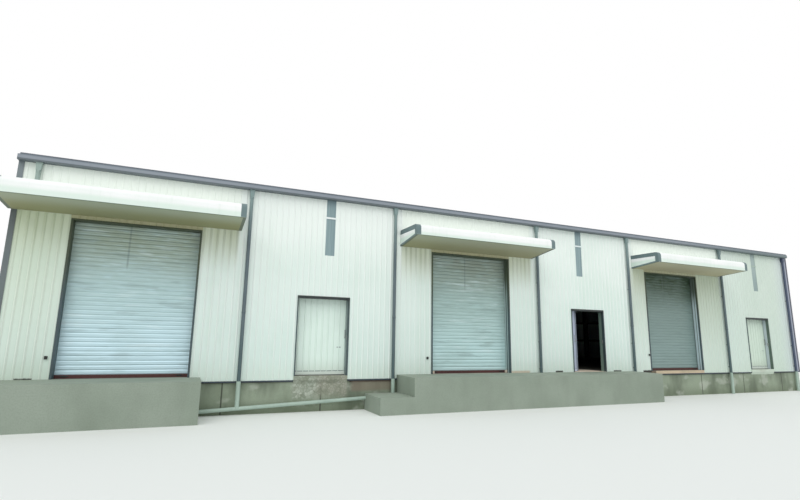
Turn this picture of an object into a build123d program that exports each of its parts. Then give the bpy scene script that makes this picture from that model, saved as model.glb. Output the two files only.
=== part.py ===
"""Factory building: a long steel-framed shed with ribbed wall sheets, three roller shutters under
canopies and three sliding doors between them. Millimetres, +Z up, long side along X, front at -Y."""
from build123d import *
from math import ceil, floor
import os

# Levels, counted from the lower edge of the wall sheets
ground_drop = 780          # down to the lowest ground that the plinth and docks reach
floor_rise = 100           # up to the finished floor
eaves_height = 4772        # up to the underside of the gutter
gutter_height = 120
roof_slope = 0.1

# Plan: bays along the front, and the span
first_bay = 4925
shutter_bay = 5000
door_bay = 4000
last_bay = 4475
building_depth = 12000

# Wall sheets: insulated panels with narrow vertical ribs on the outer face
wall_thickness = 50
rib_height = 12
rib_pitch = 155
rib_base = 46
rib_crown = 18
rib_edge = 12              # least distance from a rib to a sheet's edge
hidden_rib_pitch = 310     # on the back and the gables

# Roof sheets: insulated panels with raised seams along the slope
roof_thickness = 40
seam_height = 30
seam_pitch = 1000
seam_base = 60
seam_crown = 24
eaves_overhang = 60

# Plinth, floor and docks
plinth_thickness = 230
plinth_setback = 30
floor_thickness = 150
dock_depth = 1200
left_dock_length = 4063
middle_dock_start = 137    # from the frame line on its left
middle_dock_stop = -95     # from the frame line on its right
step_length = 916
step_drop = 466            # from the dock's top to the step's top

# Steel frame
girt_depth = 150
girt_width = 60
girt_gauge = 6
low_girt_height = 1150
girt_over_door = 115       # from a door's head to the girt that carries its track
girt_over_canopy = 116     # from a canopy's top to the highest girt
column_depth = 250
column_width = 150
flange_thickness = 14
web_thickness = 10
rafter_depth = 300
purlin_depth = 150
purlin_width = 60
purlins_per_slope = 5
purlin_end_gap = 120       # from the frame's face and from the ridge to the nearest purlin
gable_posts = 2

# Shutters
shutter_width = 2730
shutter_drop = 1166        # from the eaves to the shutters' heads
shutter_offsets = (0, 59, -285)    # from the middle of each shutter bay
shutter_jamb = 45
shutter_head = 40
slat_pitch = 100
slat_depth = 8
curtain_thickness = 10
guide_width = 75
guide_depth = 60
guide_gauge = 5
curtain_grip = 50          # how far the curtain reaches into its guides
bottom_rail_height = 75
bottom_rail_thickness = 36
hood_size = 380

# Sliding doors
door_width = 1410
door_height = 2135
door_offsets = (25, 67, 50)        # from the middle of each door bay
door_jamb = 30
door_head = 60
reveal_lip = 5             # how far jambs and heads stand proud of the ribs
leaf_overlap = 40
leaf_thickness = 36
leaf_rib = 10
leaf_gap = 6               # clear of the girts and jambs behind which it slides
leaf_floor_gap = 12
middle_leaf_open = 1070
track_height = 50
track_thickness = 8
track_gap = 24             # from the girt to the track
track_end = 20
track_spacers = 4
roller_radius = 45
roller_width = 20
roller_groove = 8
roller_play = 0.4
hanger_inset = 200
hanger_width = 50
hanger_thickness = 6
hanger_grip = 180          # length of the strap on the leaf
axle_radius = 8
handle_inset = 95          # from the leaf's edge to about the rib that carries the handle
handle_height = 1169
handle_length = 220
handle_bar = 16
handle_stand = 45

# Wall lights over the doors
light_width = 260
light_length = 1533        # down from the eaves
light_sheet = 6
light_offsets = (92, -262, 155)    # from the middle of each door

# Canopies over the shutters
canopy_reach = 1130        # from the wall sheet's face
canopy_ends = ((-72, -192), (185, -169), (242, -80))    # from the frame lines left and right
soffit_gap = 81            # from a shutter's head to the soffit
soffit_rises = (99, 148, 104)      # of each canopy's underside, from the wall to the front
canopy_rise = 458          # from the soffit to the deck's top at the wall
deck_fall = 25
deck_thickness = 16
soffit_thickness = 16
nose_radius = 110
end_thickness = 20
end_band = 125
end_lip = 45
trim_gauge = 4

# Gutters, pipes and trims
gutter_width = 150
gutter_stop = 150          # from the right corner to the gutter's end
gutter_gauge = 5
gutter_bead = 14
pipe_radius = 45
pipe_stand = 18            # from the ribs to the pipe
first_pipe_inset = 378
last_pipe_inset = 360
outlet_width = 125
outlet_height = 190
clip_width = 30
clip_height = 25
clip_heights = (205, 1031, 2900)
top_clip_drop = 372        # from the eaves to the first pipe's clip
boot_radius = 52
drain_radius = 45
drain_start_height = -670
drain_stop_height = -477
drain_clips = 4
corner_width = 110
last_corner_width = 230
corner_gauge = 5
verge_width = 140
ridge_width = 320

# Values that follow from those above
frame_lines = [0]
for bay in (first_bay, door_bay, shutter_bay, door_bay, shutter_bay, last_bay):
    frame_lines.append(frame_lines[-1] + bay)
building_length = frame_lines[-1]
rib_face = -rib_height
pipe_y = rib_face - pipe_stand - pipe_radius
girt_inner = wall_thickness + girt_depth
shutter_height = eaves_height - shutter_drop
soffit_height = shutter_height + soffit_gap
deck_height = soffit_height + canopy_rise
middle_girt_height = door_height + girt_over_door
high_girt_height = deck_height + girt_over_canopy
light_bottom = eaves_height - light_length
roof_foot = eaves_height + gutter_height
wall_top = roof_foot
ridge_y = building_depth / 2
door_bays = ((frame_lines[1], frame_lines[2]), (frame_lines[3], frame_lines[4]),
             (frame_lines[5], frame_lines[5] + door_bay))
shutter_bays = ((frame_lines[0], frame_lines[1]), (frame_lines[2], frame_lines[3]),
                (frame_lines[4], frame_lines[5]))
door_centres = [(left + right) / 2 + shift
                for (left, right), shift in zip(door_bays, door_offsets)]
shutter_centres = [(left + right) / 2 + shift
                   for (left, right), shift in zip(shutter_bays, shutter_offsets)]
end_frame = wall_thickness + girt_depth + column_width / 2
frame_places = [end_frame] + frame_lines[1:-1] + [building_length - end_frame]

nodes = {}
upwards = (Align.CENTER, Align.CENTER, Align.MIN)


def roof_line(y):
    """Height of the roof sheet's underside at a distance y from the front wall's face."""
    return roof_foot + roof_slope * (min(y, building_depth - y) + rib_height)


def face(points):
    return make_face(Polyline(*points, close=True))


def upright(points, low, high):
    """Prism on a plan outline."""
    return Pos(0, 0, low) * extrude(face(points), amount=high - low, dir=(0, 0, 1))


def lengthwise(section, left, right):
    """Prism along X on a side section, given as points (y, z) or as a sketch."""
    sketch = section if isinstance(section, Sketch) else face(section)
    return Pos(left, 0, 0) * extrude(Plane.YZ * sketch, amount=right - left, dir=(1, 0, 0))


def block(x0, x1, y0, y1, z0, z1):
    return Pos(x0, y0, z0) * Box(x1 - x0, y1 - y0, z1 - z0, align=(Align.MIN, Align.MIN, Align.MIN))


def to_back(piece):
    """The same piece on the back half of the building."""
    return mirror(piece, about=Plane(origin=(0, ridge_y, 0), z_dir=(0, 1, 0)))


def ribbed_outline(start, end, thickness, height, pitch, base, crown, edge):
    """Outline of a sheet with trapezoid ribs on its outer face, which lies on t = 0."""
    points = [(start, thickness), (start, 0)]
    first = ceil((start + edge + base / 2) / pitch)
    last = floor((end - edge - base / 2) / pitch)
    for number in range(first, last + 1):
        middle = number * pitch
        points += [(middle - base / 2, 0), (middle - crown / 2, -height),
                   (middle + crown / 2, -height), (middle + base / 2, 0)]
    return points + [(end, 0), (end, thickness)]


def sheet_outline(start, end, pitch):
    """Plan outline of a wall sheet along its side of the building."""
    return ribbed_outline(start, end, wall_thickness, rib_height, pitch,
                          rib_base, rib_crown, rib_edge)


def wall_sheet(side, start, end, low, high):
    """Ribbed wall sheet between two places along a side of the building."""
    outline = sheet_outline(start, end, rib_pitch if side == "front" else hidden_rib_pitch)
    placed = {
        "front": lambda s, t: (s, t),
        "back": lambda s, t: (s, building_depth - t),
        "left": lambda s, t: (t, s),
        "right": lambda s, t: (building_length - t, s),
    }[side]
    return upright([placed(s, t) for s, t in outline], low, high)


def under_roof(drop):
    """All the space under the roof sheets, its top lowered by drop."""
    section = [(0, -ground_drop), (0, roof_line(0) - drop), (ridge_y, roof_line(ridge_y) - drop),
               (building_depth, roof_line(building_depth) - drop), (building_depth, -ground_drop)]
    return lengthwise(section, -rib_height, building_length + rib_height)


def sloped_section(y0, y1, drop, height):
    """Side section of a bar that follows the front slope, its top lowered by drop."""
    top = [(y, roof_line(y) - drop) for y in (y0, y1)]
    return top + [(y, z - height) for y, z in reversed(top)]


def channel_points(depth, width, gauge):
    """Section of a channel: web on the left, flanges to the right, from (0, 0)."""
    return [(0, 0), (width, 0), (width, gauge), (gauge, gauge), (gauge, depth - gauge),
            (width, depth - gauge), (width, depth), (0, depth)]


def make_base():
    """Plinth walls down to the lowest ground, and the floor slab on them."""
    low, high = -ground_drop, floor_rise - floor_thickness
    x0, x1 = plinth_setback, building_length - plinth_setback
    y0, y1 = plinth_setback, building_depth - plinth_setback
    nodes["front_plinth"] = [block(x0, x1, y0, y0 + plinth_thickness, low, high)]
    nodes["back_plinth"] = [block(x0, x1, y1 - plinth_thickness, y1, low, high)]
    nodes["end_plinths"] = [block(x, x + plinth_thickness, y0 + plinth_thickness,
                                  y1 - plinth_thickness, low, high)
                            for x in (x0, x1 - plinth_thickness)]
    edge = wall_thickness
    nodes["floor_slab"] = [block(edge, building_length - edge, edge, building_depth - edge,
                                 high, floor_rise)]


def make_docks():
    """Loading docks in front of the shutters, with a step at the middle one's left end."""
    front = -dock_depth
    nodes["left_dock"] = [block(0, left_dock_length, front, rib_face, -ground_drop, floor_rise)]
    start = frame_lines[2] + middle_dock_start
    stop = frame_lines[4] + middle_dock_stop
    nodes["middle_dock"] = [block(start, stop, front, rib_face, -ground_drop, floor_rise)]
    nodes["dock_step"] = [block(start - step_length, start, front, rib_face,
                                -ground_drop, floor_rise - step_drop)]


def i_section(middle, start, depth, width):
    """Plan outline of an upright I-beam, its web along Y."""
    half, web = width / 2, web_thickness / 2
    right = [(half, 0), (half, flange_thickness), (web, flange_thickness),
             (web, depth - flange_thickness), (half, depth - flange_thickness), (half, depth)]
    left = [(-x, y) for x, y in reversed(right)]
    return [(middle + x, start + y) for x, y in right + left]


def make_frame():
    """Portal frames, gable posts, girts and purlins."""
    rafter_foot = under_roof(purlin_depth + rafter_depth)
    front_columns = [upright(i_section(x, girt_inner, column_depth, column_width),
                             floor_rise, eaves_height) & rafter_foot for x in frame_places]
    post_step = (building_depth - 2 * girt_inner) / (gable_posts + 1)
    posts = [upright(i_section(x, girt_inner + post_step * (number + 1) - column_width / 2,
                               column_width, column_width), floor_rise, roof_line(ridge_y))
             & rafter_foot
             for x in (frame_places[0], frame_places[-1]) for number in range(gable_posts)]
    nodes["columns"] = front_columns + [to_back(column) for column in front_columns] + posts

    def rafter(x):
        half, web = column_width / 2, web_thickness / 2
        flange = [sloped_section(girt_inner, ridge_y, purlin_depth + drop, flange_thickness)
                  for drop in (0, rafter_depth - flange_thickness)]
        webbing = sloped_section(girt_inner, ridge_y, purlin_depth + flange_thickness,
                                 rafter_depth - 2 * flange_thickness)
        beam = lengthwise(webbing, x - web, x + web)
        for section in flange:
            beam += lengthwise(section, x - half, x + half)
        return beam

    nodes["front_rafters"] = [rafter(x) for x in frame_places]
    nodes["back_rafters"] = [to_back(beam) for beam in nodes["front_rafters"]]

    def purlin(y):
        section = [(y + across, roof_line(y + across) - purlin_depth + up)
                   for across, up in channel_points(purlin_depth, purlin_width, girt_gauge)]
        return lengthwise(section, wall_thickness, building_length - wall_thickness)

    first = girt_inner + purlin_end_gap
    step = (ridge_y - purlin_end_gap - purlin_width - first) / (purlins_per_slope - 1)
    front_purlins = [purlin(first + step * number) for number in range(purlins_per_slope)]
    nodes["purlins"] = front_purlins + [to_back(piece) for piece in front_purlins]
    make_girts()


def girt(left, right, height):
    """Channel lying flat behind the front wall, its web below."""
    section = [(wall_thickness + across, height - girt_width / 2 + up)
               for up, across in channel_points(girt_depth, girt_width, girt_gauge)]
    return lengthwise(section, left, right)


def make_girts():
    """Girts behind the wall sheets, broken at the shutters and doors they would cross."""
    ends = (wall_thickness, building_length - wall_thickness)
    shutters = [(x - shutter_width / 2, x + shutter_width / 2) for x in shutter_centres]
    doors = [(x - door_width / 2, x + door_width / 2) for x in door_centres]

    def runs(gaps):
        marks = [ends[0]] + [mark for gap in sorted(gaps) for mark in gap] + [ends[1]]
        return list(zip(marks[::2], marks[1::2]))

    front = [girt(*run, low_girt_height) for run in runs(shutters + doors)]
    front += [girt(*run, middle_girt_height) for run in runs(shutters)]
    front += [girt(*ends, high_girt_height)]
    levels = (low_girt_height, middle_girt_height, high_girt_height)
    nodes["girts"] = front + [to_back(girt(*ends, level)) for level in levels]

    def gable_girt(level):
        span = building_depth - 2 * girt_inner
        return Pos(0, girt_inner + span, 0) * Rot(0, 0, -90) * Pos(-ends[0], 0, 0) \
            * girt(ends[0], ends[0] + span, level)

    left = [gable_girt(level) for level in levels]
    across = Plane(origin=(building_length / 2, 0, 0), z_dir=(1, 0, 0))
    nodes["gable_girts"] = left + [mirror(piece, about=across) for piece in left]


def make_walls():
    """Wall sheets: piers beside the openings, heads over them, back and gables."""
    openings = [(x, shutter_width, shutter_height) for x in shutter_centres]
    openings += [(x, door_width, door_height) for x in door_centres]
    openings.sort()
    marks = [0]
    for middle, width, _ in openings:
        marks += [middle - width / 2, middle + width / 2]
    marks.append(building_length)
    nodes["front_wall_piers"] = [wall_sheet("front", left, right, 0, wall_top)
                                 for left, right in zip(marks[::2], marks[1::2])]
    heads = []
    for middle, width, height in openings:
        head = wall_sheet("front", middle - width / 2, middle + width / 2, height, wall_top)
        for door, shift in zip(door_centres, light_offsets):
            if middle == door:
                head -= block(door + shift - light_width / 2, door + shift + light_width / 2,
                              rib_face, wall_thickness, light_bottom, wall_top)
        heads.append(head)
    nodes["front_wall_heads"] = heads
    nodes["wall_lights"] = [block(door + shift - light_width / 2, door + shift + light_width / 2,
                                  0, light_sheet, light_bottom, wall_top)
                            for door, shift in zip(door_centres, light_offsets)]
    nodes["back_wall"] = [wall_sheet("back", 0, building_length, 0, wall_top)]
    for side in ("left", "right"):
        sheet = wall_sheet(side, wall_thickness, building_depth - wall_thickness,
                           0, roof_line(ridge_y))
        nodes[side + "_gable"] = [sheet & under_roof(0)]


def make_roof():
    """Roof sheets with raised seams, ridge cap, verge and eaves trims."""
    start = -eaves_overhang
    outline = ribbed_outline(0, building_length, roof_thickness, seam_height, seam_pitch,
                             seam_base, seam_crown, verge_width)
    top = roof_line(start) + roof_thickness
    run = ridge_y - start
    sheet_end = face([(s, top - t) for s, t in outline])
    sheet_end = Pos(0, start, 0) * (Rot(90, 0, 0) * sheet_end)
    along = Vector(0, run, roof_slope * run)
    sheet = extrude(sheet_end, amount=along.length, dir=along.normalized())
    nodes["front_roof"] = [sheet]
    nodes["back_roof"] = [to_back(sheet)]

    over = -(roof_thickness + seam_height)
    half = ridge_width / 2
    cap = lengthwise(sloped_section(ridge_y - half, ridge_y, over - trim_gauge, trim_gauge),
                     0, building_length)
    nodes["ridge_cap"] = [cap + to_back(cap)]

    def verge(outer, inner):
        """Angle over the roof's edge and down the gable, from x = outer to x = inner."""
        leg = sorted((outer, outer + (trim_gauge if inner > outer else -trim_gauge)))
        flat = lengthwise(sloped_section(start, ridge_y, -roof_thickness - trim_gauge, trim_gauge),
                          *sorted((outer, inner)))
        side = lengthwise(sloped_section(rib_face, ridge_y, -roof_thickness,
                                         roof_thickness + gutter_height), *leg)
        half_trim = flat + side
        return half_trim + to_back(half_trim)

    left_face = rib_face - trim_gauge
    right_face = building_length - left_face
    nodes["verge_trims"] = [verge(left_face, verge_width - seam_base),
                            verge(right_face, building_length - verge_width + seam_base)]

    lip = lengthwise([(start - trim_gauge, roof_line(start)), (start, roof_line(start)),
                      (start, top + seam_height), (start - trim_gauge, top + seam_height)],
                     0, building_length)
    nodes["eaves_trims"] = [lip, to_back(lip)]


def make_trims():
    """Corner angles over the ends of the ribs."""
    outer = rib_face - corner_gauge
    far = building_length - outer

    def corner(width):
        """Angle round the left front corner, its leg on the front of the given width."""
        angle = [(outer, outer), (outer + width, outer), (outer + width, rib_face),
                 (rib_face, rib_face), (rib_face, outer + corner_width),
                 (outer, outer + corner_width)]
        return upright(angle, 0, eaves_height)

    left = corner(corner_width)
    across = Plane(origin=(building_length / 2, 0, 0), z_dir=(1, 0, 0))
    right = mirror(corner(last_corner_width), about=across)
    right += block(far - gutter_stop, far, outer, rib_face, eaves_height, roof_line(outer))
    canopy_notch = lengthwise(canopy_profile(-trim_gauge, soffit_rises[0]),
                              2 * outer, outer + corner_width)
    dock_notch = block(2 * outer, outer + corner_width, 2 * outer, rib_face, 0, floor_rise)
    nodes["corner_trims"] = [left - canopy_notch - dock_notch, right, to_back(left), to_back(right)]


def make_gutters():
    """Gutters with closed ends."""
    back = rib_face
    front = back - gutter_width
    low, high = eaves_height, eaves_height + gutter_height
    back_top = roof_line(back - gutter_gauge)
    section = [(back, back_top), (back, low), (front, low), (front, high), (front + gutter_bead, high),
               (front + gutter_bead, high - gutter_bead), (front + gutter_gauge, high - gutter_bead),
               (front + gutter_gauge, low + gutter_gauge), (back - gutter_gauge, low + gutter_gauge),
               (back - gutter_gauge, back_top)]
    end_top = roof_line(-eaves_overhang)
    end_section = [(back, end_top), (back, low), (front, low), (front, end_top)]
    outer = rib_face - corner_gauge
    left, right = outer, building_length - outer - gutter_stop
    trough = lengthwise(section, left, right)
    trough += lengthwise(end_section, left, left + gutter_gauge)
    trough += lengthwise(end_section, right - gutter_gauge, right)
    nodes["gutters"] = [trough, to_back(trough)]


def make_pipes():
    """Outlets under the gutters, downpipes, their clips, and the drain along the plinth."""
    low = eaves_height
    places = [first_pipe_inset] + frame_lines[1:-1] + [building_length - last_pipe_inset]
    outlets = []
    top = low - outlet_height
    for x in places:
        funnel = Plane.XZ * face([(x - pipe_radius, top), (x + pipe_radius, top),
                                  (x + outlet_width / 2, low), (x - outlet_width / 2, low)])
        outlets.append(Pos(0, pipe_y, 0) * extrude(funnel, amount=pipe_radius, both=True))
    nodes["outlets"] = outlets + [to_back(piece) for piece in outlets]

    def pipe(x, foot):
        return Pos(x, pipe_y, foot) * Cylinder(pipe_radius, top - foot, align=upwards)

    dock_feet = {3: floor_rise}
    front_pipes = [pipe(x, dock_feet.get(number, 0)) for number, x in enumerate(places)]
    first_canopy = lengthwise(canopy_profile(0, soffit_rises[0]), 0, frame_lines[1])
    front_pipes[0] = pipe(places[0], deck_height - deck_fall) - first_canopy
    nodes["downpipes"] = front_pipes + [to_back(pipe(x, 0)) for x in places]

    def clip(x, height, pitch):
        """Block between a pipe and the wall."""
        half = clip_width / 2
        arm = block(x - half, x + half, pipe_y + pipe_radius, 0, height, height + clip_height)
        return arm - upright(sheet_outline(x - pitch, x + pitch, pitch), height, height + clip_height)

    clips = [clip(x, height, rib_pitch) for x in places[1:] for height in clip_heights]
    clips.append(clip(places[0], eaves_height - top_clip_drop, rib_pitch))
    nodes["pipe_clips"] = clips + [to_back(clip(x, height, hidden_rib_pitch))
                                   for x in places for height in clip_heights]

    step_edge = frame_lines[2] + middle_dock_start - step_length
    run = step_edge - left_dock_length
    rise = drain_stop_height - drain_start_height
    along = Vector(run, 0, rise)
    middle = Vector(left_dock_length, pipe_y, drain_start_height) + along / 2
    drain = Plane(origin=middle, z_dir=along) * Cylinder(drain_radius, along.length + boot_radius)
    drain &= block(left_dock_length, step_edge, pipe_y - boot_radius, pipe_y + boot_radius,
                   -ground_drop, 0)

    def boot(x, foot):
        return Pos(x, pipe_y, foot) * Cylinder(boot_radius, -foot, align=upwards)

    drain_height = drain_start_height + rise * (places[1] - left_dock_length) / run
    half = clip_width / 2
    for number in range(drain_clips):
        x = left_dock_length + run * (number + 0.5) / drain_clips
        height = drain_start_height + rise * (number + 0.5) / drain_clips
        drain += block(x - half, x + half, pipe_y, plinth_setback, height - clip_height / 2,
                       height + clip_height / 2)
    feet = {2: floor_rise - step_drop, 4: -ground_drop, 5: -ground_drop, 6: -ground_drop}
    boots = [boot(places[number], foot) for number, foot in feet.items()]
    nodes["drain_pipes"] = [drain + boot(places[1], drain_height)] + boots


def canopy_profile(inset, rise):
    """Side section of a canopy, its top and front drawn in by inset."""
    tip = -canopy_reach + inset
    corners = [(rib_face, soffit_height), (rib_face, deck_height - inset),
               (tip, deck_height - deck_fall - inset), (tip, soffit_line(tip, rise))]
    sketch = face(corners)
    nose = sketch.vertices().sort_by_distance((tip, deck_height - deck_fall - inset, 0))[0]
    return fillet(nose, nose_radius - inset)


def soffit_line(y, rise):
    """Height of a canopy's underside at a place y in front of the wall."""
    return soffit_height + rise * (rib_face - y) / (canopy_reach + rib_face)


def make_canopies():
    """Canopies over the shutters: a deck that rolls over a round nose, soffit, ends and trims."""
    decks, soffits, ends, trims = [], [], [], []
    pipe_ways = [Pos(x, pipe_y, 0) * Cylinder(pipe_radius + trim_gauge, 2 * eaves_height)
                 for x in frame_lines[1:-1]]
    for (left_line, right_line), (left_shift, right_shift), rise in zip(shutter_bays, canopy_ends,
                                                                        soffit_rises):
        left, right = left_line + left_shift, right_line + right_shift
        outside = canopy_profile(0, rise)
        inside = canopy_profile(deck_thickness, rise)
        tip = -canopy_reach + deck_thickness
        soffit = [(rib_face, soffit_height), (tip, soffit_line(tip, rise)),
                  (tip, soffit_line(tip, rise) + soffit_thickness),
                  (rib_face, soffit_height + soffit_thickness)]
        infill = inside - face(soffit)
        cap = canopy_profile(-trim_gauge, rise)
        edge = -canopy_reach + end_band
        window = face([(rib_face, soffit_height + end_lip), (rib_face, deck_height - end_band),
                       (edge, deck_height - deck_fall - end_band),
                       (edge, soffit_line(edge, rise) + end_lip)])
        deck = lengthwise(outside - inside, left, right)
        under = lengthwise(soffit, left, right)
        for way in pipe_ways:
            deck -= way
            under -= way
        decks.append(deck)
        soffits.append(under)
        for outer, inner in ((left, left + end_thickness), (right, right - end_thickness)):
            ends.append(lengthwise(infill, *sorted((outer, inner))))
            away = -1 if outer == left else 1
            plate = outer + away * trim_gauge
            band = lengthwise(cap, *sorted((plate, outer - away * end_band)))
            band -= lengthwise(outside, *sorted((outer, outer - away * end_band)))
            band -= lengthwise(window, *sorted((plate, outer)))
            for way in pipe_ways:
                band -= way
            trims.append(band)
    nodes["canopy_decks"] = decks
    nodes["canopy_soffits"] = soffits
    nodes["canopy_ends"] = ends
    nodes["canopy_trims"] = trims


def make_opening_frames():
    """Jambs, heads and sills that line the openings, from the front lip to the girts' inner face."""
    lip = rib_face - reveal_lip
    jambs, heads, sills = [], [], []
    kinds = ((shutter_centres, shutter_width, shutter_height, shutter_jamb, shutter_head),
             (door_centres, door_width, door_height, door_jamb, door_head))
    for centres, width, height, jamb, head in kinds:
        for middle in centres:
            left, right = middle - width / 2, middle + width / 2
            jambs += [block(left, left + jamb, lip, girt_inner, floor_rise, height),
                      block(right - jamb, right, lip, girt_inner, floor_rise, height)]
            heads.append(block(left + jamb, right - jamb, lip, girt_inner, height - head, height))
            sills.append(block(left, right, rib_face, wall_thickness, 0, floor_rise))
    nodes["opening_jambs"] = jambs
    nodes["opening_heads"] = heads
    nodes["opening_sills"] = sills


def make_shutters():
    """Roller shutters: frames, guides, slatted curtains, bottom rails and hoods."""
    guides, rails, hoods = [], [], []
    curtain_face = girt_inner + guide_depth / 2 - curtain_thickness / 2
    slat_shape = ((0, 0), (-slat_depth, 0.2), (-slat_depth, 0.72), (0, 0.92))
    for name, middle in zip(("left", "middle", "right"), shutter_centres):
        clear = shutter_width / 2 - shutter_jamb
        guide_top = shutter_height
        for side in (-1, 1):
            channel = [(middle + side * (clear + guide_width - across), girt_inner + up)
                       for across, up in channel_points(guide_depth, guide_width, guide_gauge)]
            guides.append(upright(channel, floor_rise, guide_top))
        left, right = middle - clear - curtain_grip, middle + clear + curtain_grip
        low = floor_rise + bottom_rail_height
        slats = round((guide_top - low) / slat_pitch)
        pitch = (guide_top - low) / slats
        outline = [(curtain_face + curtain_thickness, low)]
        for number in range(slats):
            outline += [(curtain_face + out, low + pitch * (number + up)) for out, up in slat_shape]
        outline += [(curtain_face, guide_top), (curtain_face + curtain_thickness, guide_top)]
        nodes[name + "_shutter"] = [lengthwise(outline, left, right)]
        middle_y = girt_inner + guide_depth / 2
        rails.append(block(left, right, middle_y - bottom_rail_thickness / 2,
                           middle_y + bottom_rail_thickness / 2, floor_rise, low))
        chamfer = hood_size / 3
        hood = [(girt_inner, guide_top), (girt_inner + hood_size - chamfer, guide_top),
                (girt_inner + hood_size, guide_top + chamfer),
                (girt_inner + hood_size, guide_top + hood_size - chamfer),
                (girt_inner + hood_size - chamfer, guide_top + hood_size),
                (girt_inner, guide_top + hood_size)]
        hoods.append(lengthwise(hood, middle - clear - guide_width, middle + clear + guide_width))
    nodes["shutter_guides"] = guides
    nodes["shutter_rails"] = rails
    nodes["shutter_hoods"] = hoods


def make_doors():
    """Sliding doors: frames, tracks on the girt, ribbed leaves, hangers and handles."""
    tracks = []
    track_low = middle_girt_height - track_height / 2
    track_high = track_low + track_height
    spacer_high = track_high - 2 * roller_groove
    track_y = girt_inner + track_gap
    leaf_front = girt_inner + leaf_gap + leaf_rib
    leaf_back = leaf_front + leaf_thickness
    leaf_low = floor_rise + leaf_floor_gap
    leaf_high = track_low - leaf_floor_gap
    contact = roller_radius - roller_groove * (1 - track_thickness / roller_width)
    axle_height = track_high + roller_play + contact
    wheel_y = track_y + track_thickness / 2
    for name, middle, (bay_left, _) in zip(("left", "middle", "right"), door_centres, door_bays):
        shut_left = middle - door_width / 2 - leaf_overlap
        shut_right = middle + door_width / 2 + leaf_overlap
        track_left = bay_left + column_width / 2 + track_end
        track = block(track_left, shut_right, track_y, track_y + track_thickness,
                      track_low, track_high)
        spacing = (shut_right - track_left - track_gap) / (track_spacers - 1)
        for number in range(track_spacers):
            x = track_left + spacing * number
            track += block(x, x + track_gap, girt_inner, track_y, track_low, spacer_high)
        tracks.append(track)
        shift = middle_leaf_open if name == "middle" else 0
        left, right = shut_left - shift, shut_right - shift
        outline = ribbed_outline(0, right - left, leaf_thickness, leaf_rib, rib_pitch,
                                 rib_base, rib_crown, rib_edge)
        leaf = upright([(left + s, leaf_front + t) for s, t in outline], leaf_low, leaf_high)
        nodes[name + "_door_leaf"] = [leaf]
        fittings = []
        for x in (left + hanger_inset, right - hanger_inset):
            fittings.append(hanger(x, leaf_back, leaf_high - hanger_grip, axle_height, wheel_y))
        crown = left + rib_pitch * round((right - left - handle_inset) / rib_pitch)
        fittings.append(handle(crown, leaf_front - leaf_rib))
        nodes[name + "_door_fittings"] = fittings
    nodes["door_tracks"] = tracks


def hanger(x, leaf_back, foot, axle_height, wheel_y):
    """Strap on the leaf's inner face with a grooved roller that runs on the track."""
    strap = block(x - hanger_width / 2, x + hanger_width / 2, leaf_back,
                  leaf_back + hanger_thickness, foot, axle_height + hanger_width / 2)
    half = roller_width / 2
    wheel = [(0, -half), (roller_radius, -half), (roller_radius - roller_groove, 0),
             (roller_radius, half), (0, half)]
    wheel = revolve(Plane.XZ * face(wheel), Axis.Z)
    axle = extrude(RegularPolygon(axle_radius, 6), amount=leaf_back - wheel_y)
    return strap + Pos(x, wheel_y, axle_height) * (Rot(-90, 0, 0) * (wheel + axle))


def handle(x, crown_face):
    """Pull handle on the crown of one of the leaf's ribs."""
    low, high = handle_height - handle_length / 2, handle_height + handle_length / 2
    front = crown_face - handle_stand
    half = handle_bar / 2
    pull = block(x - half, x + half, front, front + handle_bar, low, high)
    for z in (low, high - handle_bar):
        pull += block(x - half, x + half, front + handle_bar, crown_face, z, z + handle_bar)
    return pull


make_base()
make_docks()
make_frame()
make_walls()
make_roof()
make_trims()
make_gutters()
make_pipes()
make_canopies()
make_opening_frames()
make_shutters()
make_doors()

boxes = [piece.bounding_box() for pieces in nodes.values() for piece in pieces]
low = [min(getattr(box.min, axis) for box in boxes) for axis in "XYZ"]
high = [max(getattr(box.max, axis) for box in boxes) for axis in "XYZ"]
origin = Vector((low[0] + high[0]) / 2, (low[1] + high[1]) / 2, low[2])
print("origin", origin, "size", [b - a for a, b in zip(low, high)])

os.makedirs("parts", exist_ok=True)
for name, pieces in nodes.items():
    solids = [solid for piece in pieces for solid in piece.solids()]
    export_step(Pos(-origin.X, -origin.Y, -origin.Z) * Compound(solids), f"parts/{name}.step")
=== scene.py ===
"""Looks for the factory building: finishes for its solids, and the small parts they leave out.

Places are written as on a drawing of the front wall, in metres: along from its left corner, inward
from the face of its sheets, and up from their lower edge."""
import math
import bmesh
import bpy
from mathutils import Matrix, Vector


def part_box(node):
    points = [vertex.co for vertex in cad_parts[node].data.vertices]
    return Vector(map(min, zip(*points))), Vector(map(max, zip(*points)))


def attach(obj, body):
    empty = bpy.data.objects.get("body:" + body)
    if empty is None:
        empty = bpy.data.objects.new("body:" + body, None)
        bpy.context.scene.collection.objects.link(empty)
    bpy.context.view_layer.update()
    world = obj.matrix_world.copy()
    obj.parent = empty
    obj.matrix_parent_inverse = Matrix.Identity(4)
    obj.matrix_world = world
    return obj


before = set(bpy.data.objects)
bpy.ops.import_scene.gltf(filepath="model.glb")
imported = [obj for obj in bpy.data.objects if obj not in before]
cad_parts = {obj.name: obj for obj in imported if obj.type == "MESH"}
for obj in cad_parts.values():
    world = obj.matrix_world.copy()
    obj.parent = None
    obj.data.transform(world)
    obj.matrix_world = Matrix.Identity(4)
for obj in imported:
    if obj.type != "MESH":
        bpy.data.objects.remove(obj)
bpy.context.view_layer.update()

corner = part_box("back_wall")[0]
RIB = 0.012
WALL_ORIGIN = Vector((corner.x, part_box("front_wall_piers")[0].y + RIB, corner.z))
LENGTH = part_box("back_wall")[1].x - corner.x
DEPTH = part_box("back_wall")[1].y - WALL_ORIGIN.y - RIB
PITCH = 0.155
HIDDEN_PITCH = 0.31
EAVES = 4.772
SOFFIT = 3.69
SOFFIT_EDGE = SOFFIT + 0.03
FLOOR = 0.1
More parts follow.
